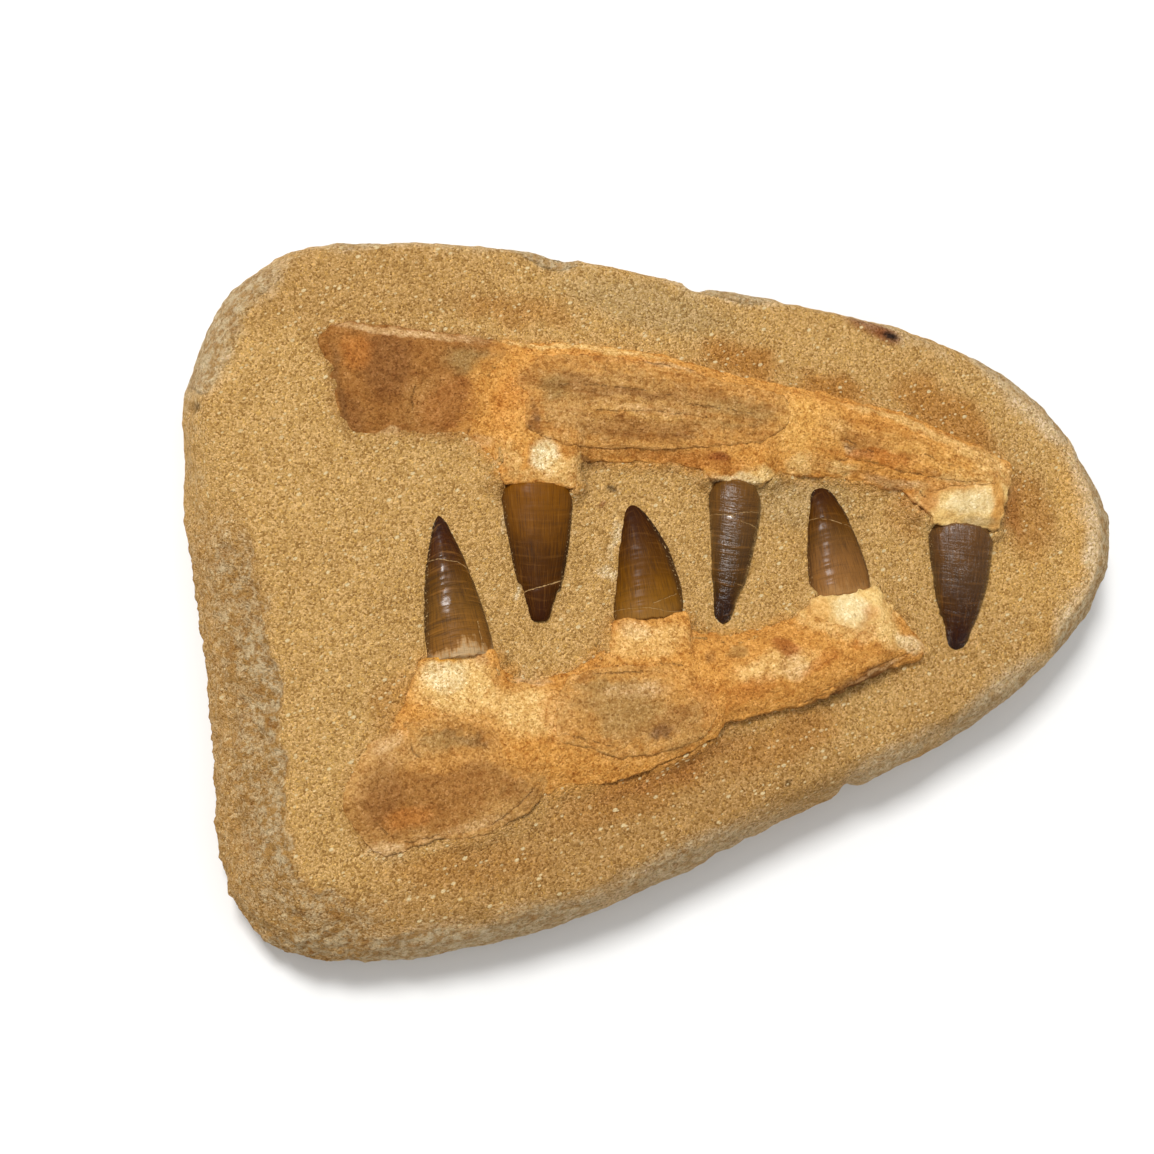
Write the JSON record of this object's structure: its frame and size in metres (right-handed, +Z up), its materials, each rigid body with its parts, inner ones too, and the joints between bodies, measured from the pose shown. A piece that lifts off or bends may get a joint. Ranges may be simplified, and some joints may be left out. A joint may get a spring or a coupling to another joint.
{
  "type": "fossil mosasaur jaw in a stone slab",
  "caption": "Fossil reptile jaws with glossy brown tooth crowns, bone fragments and restoring paste, set in relief in the face of a rounded sandstone display slab.",
  "frame": {"origin": "middle of the slab's flat back, at the bottom centre of the whole piece's box", "axes": "+X runs to the snout, +Y from the lower jaw to the upper jaw, +Z up out of the carved face; the slab lies on its back"},
  "size_m": [0.2627, 0.1923, 0.0409],
  "materials": {
    "sandstone": "golden-brown grainy stone, pale and worn along the rim",
    "brown_bone": "brown, finely streaked fossil bone",
    "pale_bone": "orange-beige fossil bone with pale streaks",
    "bone_paste": "speckled orange restoring paste of crushed bone",
    "cream_paste": "smooth cream-coloured paste",
    "tooth_enamel": "glossy dark brown enamel, amber towards the base"
  },
  "bodies": {
    "root": {"matrix_slab": "sandstone", "upper_jaw_rear": "brown_bone", "upper_jaw_middle": "brown_bone", "upper_jaw_front": "pale_bone", "upper_jaw_paste": "bone_paste", "upper_front_socket": "cream_paste", "lower_jaw_rear": "brown_bone", "lower_jaw_middle": "brown_bone", "lower_jaw_front": "pale_bone", "lower_jaw_paste": "bone_paste", "lower_front_socket": "cream_paste", "upper_tooth_rear": "tooth_enamel", "upper_tooth_middle": "tooth_enamel", "upper_tooth_front": "tooth_enamel", "lower_tooth_rear": "tooth_enamel", "lower_tooth_middle": "tooth_enamel", "lower_tooth_front": "tooth_enamel"}
  },
  "joints": []
}
